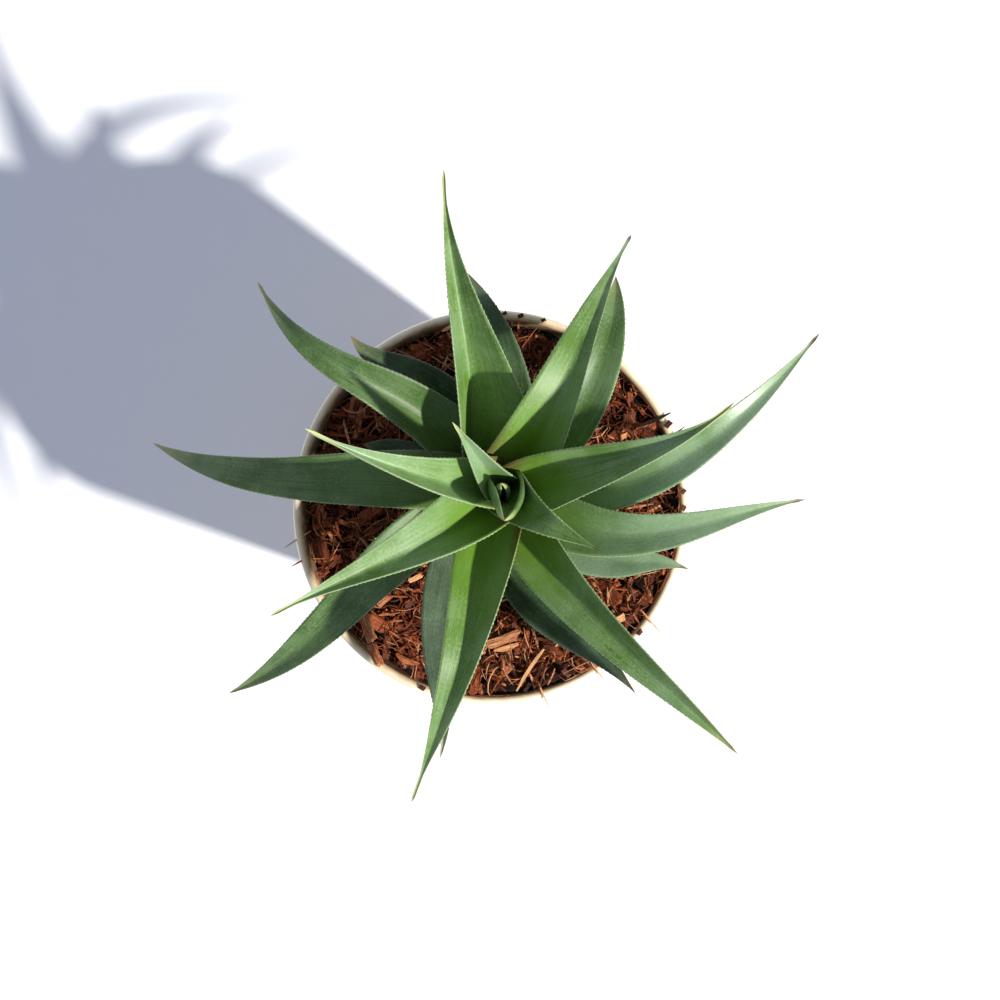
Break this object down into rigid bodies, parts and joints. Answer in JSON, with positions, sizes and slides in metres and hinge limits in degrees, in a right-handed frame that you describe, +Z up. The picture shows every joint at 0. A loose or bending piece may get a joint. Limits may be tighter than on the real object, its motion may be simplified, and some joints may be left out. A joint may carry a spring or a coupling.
{
  "type": "potted rosette succulent",
  "caption": "Young spiral rosette of smooth, channelled, finely toothed leaves, growing in coir chips in a round glazed pot.",
  "frame": {"origin": "middle of the pot's flat underside", "axes": "+Z up along the pot's axis; +X and +Y are right and up in the picture, which looks straight down"},
  "size_m": [0.201, 0.1844, 0.176],
  "materials": {
    "glaze": "gloss",
    "coir": "matte",
    "stem": "matte",
    "leaf_young": "satin",
    "leaf_green": "satin",
    "leaf_old": "satin"
  },
  "bodies": {
    "root": {"pot": "glaze", "coir": "coir", "stem": "stem", "heart_spear": "leaf_young", "heart_leaf": "leaf_young", "leaf_01": "leaf_young", "leaf_02": "leaf_young", "leaf_03": "leaf_green", "leaf_04": "leaf_green", "leaf_05": "leaf_green", "leaf_06": "leaf_green", "leaf_07": "leaf_green", "leaf_08": "leaf_green", "leaf_09": "leaf_green", "leaf_10": "leaf_green", "leaf_11": "leaf_old", "leaf_12": "leaf_old", "leaf_13": "leaf_old", "leaf_14": "leaf_old", "leaf_15": "leaf_old", "leaf_16": "leaf_old", "leaf_17": "leaf_old", "leaf_18": "leaf_old", "leaf_19": "leaf_old", "leaf_20": "leaf_old", "leaf_21": "leaf_old"}
  },
  "joints": []
}
